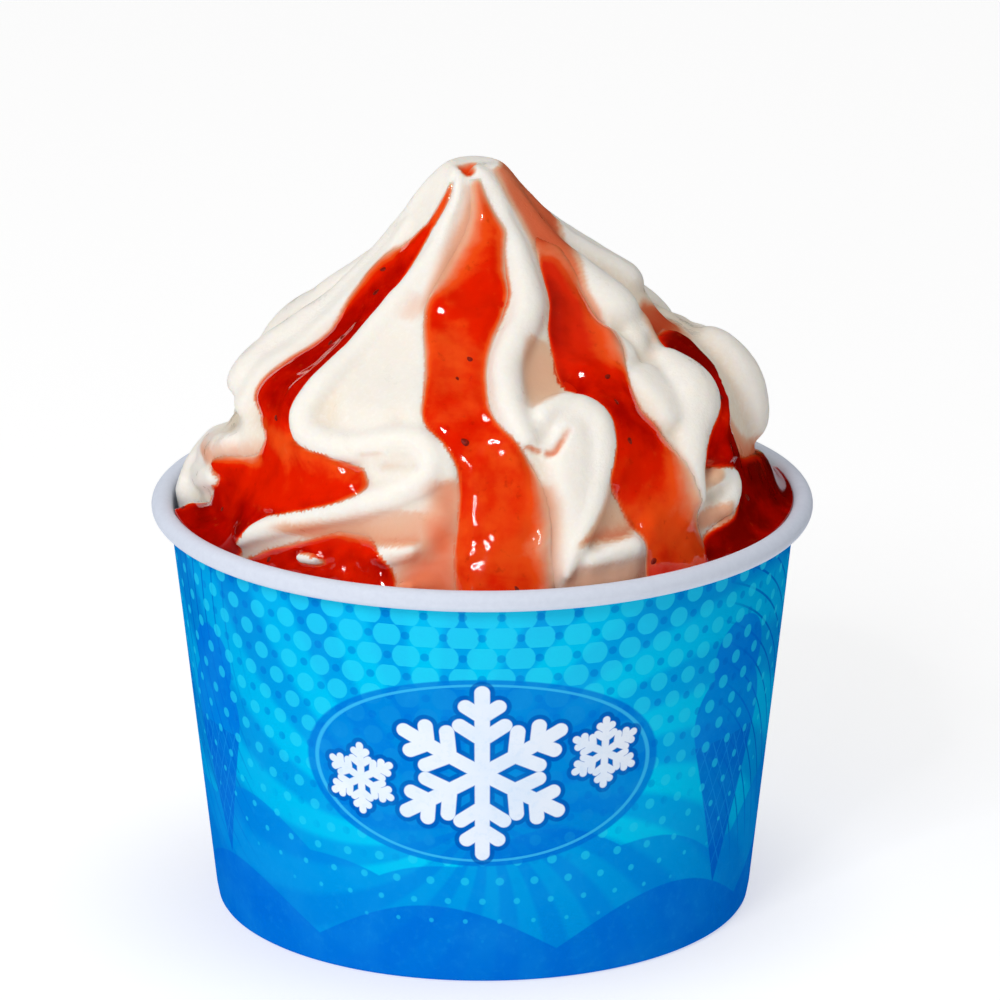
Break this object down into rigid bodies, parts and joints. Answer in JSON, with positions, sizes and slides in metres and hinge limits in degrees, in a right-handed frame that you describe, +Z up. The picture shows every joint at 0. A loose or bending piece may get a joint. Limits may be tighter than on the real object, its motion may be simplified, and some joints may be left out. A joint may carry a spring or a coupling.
{
  "type": "ice cream sundae",
  "caption": "Soft-serve sundae in a printed paper cup: folded vanilla ice cream piled above the rolled rim, with strawberry sauce run down between the folds.",
  "frame": {"origin": "centre of the cup's foot, on the ground", "axes": "+Z up along the cup's axis, -Y towards the shown front, +X to the right of the front"},
  "size_m": [0.096, 0.096, 0.1109],
  "materials": {
    "printed_paper": "coated paper printed in two blues, white inside and on the rolled rim",
    "plain_board": "plain white coated board",
    "ice_cream": "soft warm white with a fine frosty grain",
    "sauce": "wet, clear red, paler where thin"
  },
  "bodies": {
    "root": {"cup_wall": "printed_paper", "cup_base": "plain_board", "ice_cream": "ice_cream", "sauce_left": "sauce", "sauce_front": "sauce", "sauce_front_left": "sauce", "sauce_right": "sauce", "sauce_back_1": "sauce", "sauce_back_2": "sauce"}
  },
  "joints": []
}
